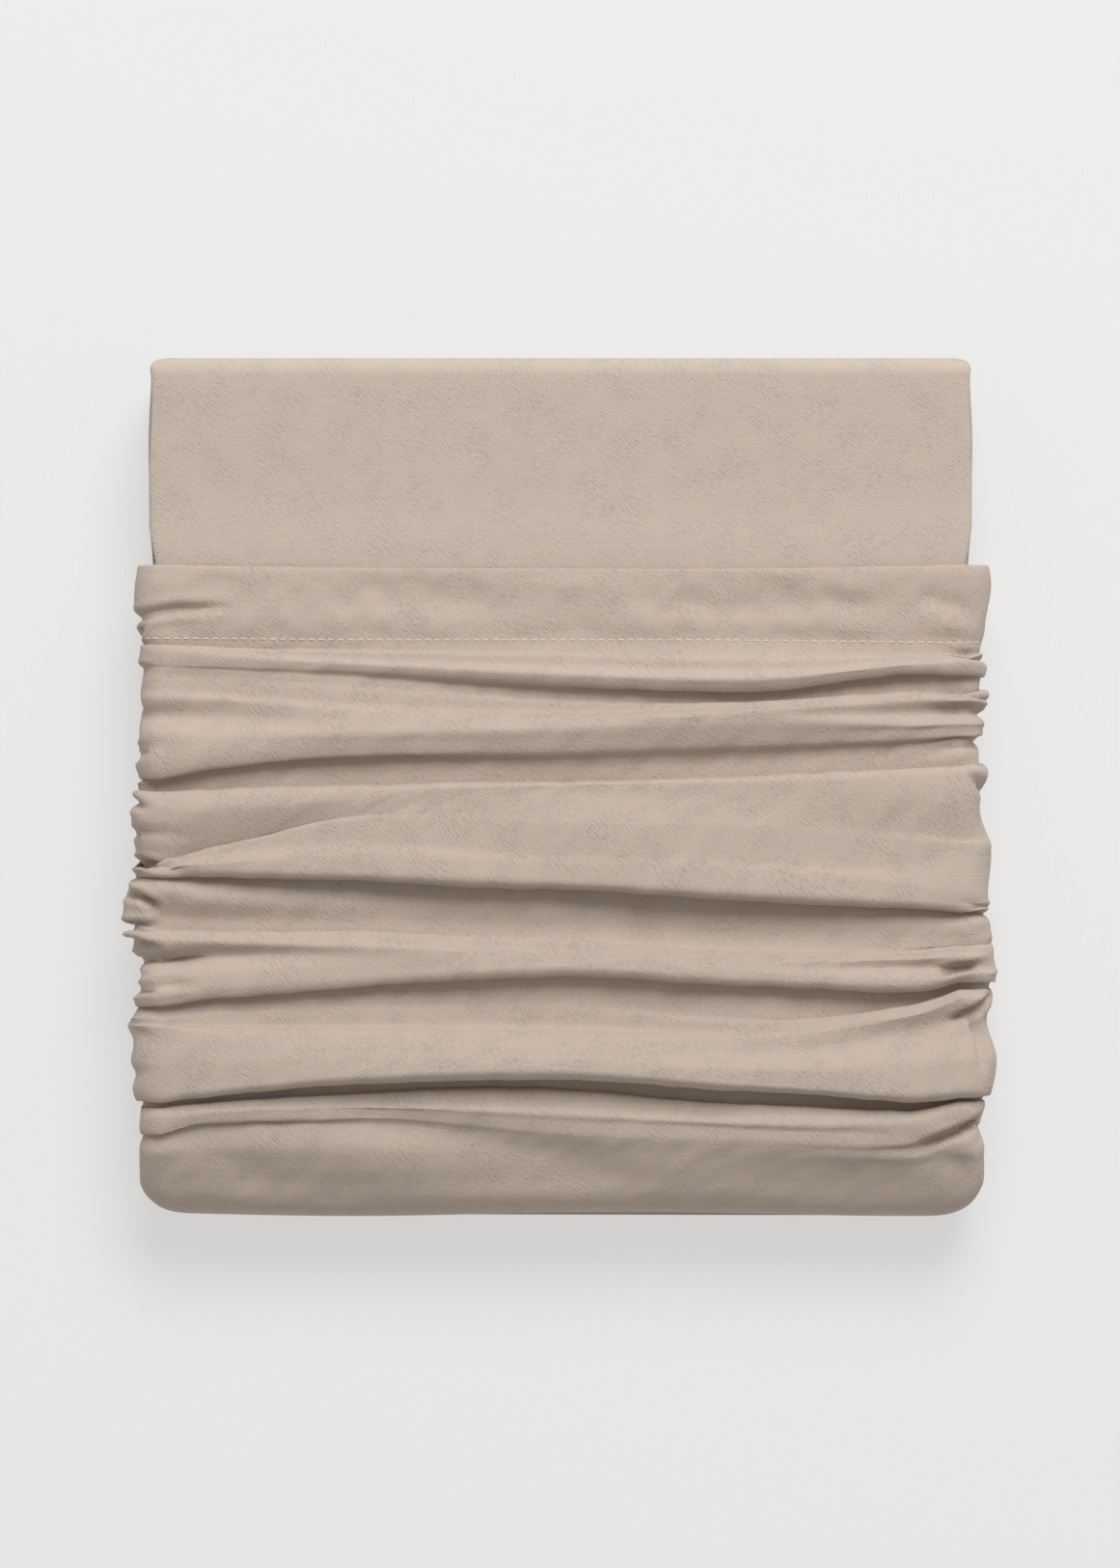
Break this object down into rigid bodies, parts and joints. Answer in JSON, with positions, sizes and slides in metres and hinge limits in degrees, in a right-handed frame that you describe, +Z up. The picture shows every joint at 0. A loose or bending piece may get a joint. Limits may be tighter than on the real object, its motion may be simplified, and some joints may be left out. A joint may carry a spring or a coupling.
{
  "type": "crumpled duvet cover",
  "caption": "Flat folded duvet cover in a crumpled, gathered slip of the same cloth with a wide stitched hem at the mouth.",
  "frame": {"origin": "on the ground under the middle of the pack's outline", "axes": "+X across the pack to the right of the picture, +Y to the bare end of the folded cover, +Z up"},
  "size_m": [0.3634, 0.3572, 0.0654],
  "materials": {
    "cover_cloth": "matte washed cotton, smooth and pressed",
    "slip_cloth": "matte washed cotton, crumpled"
  },
  "bodies": {
    "root": {"folded_cover": "cover_cloth", "gathered_slip": "slip_cloth"}
  },
  "joints": []
}
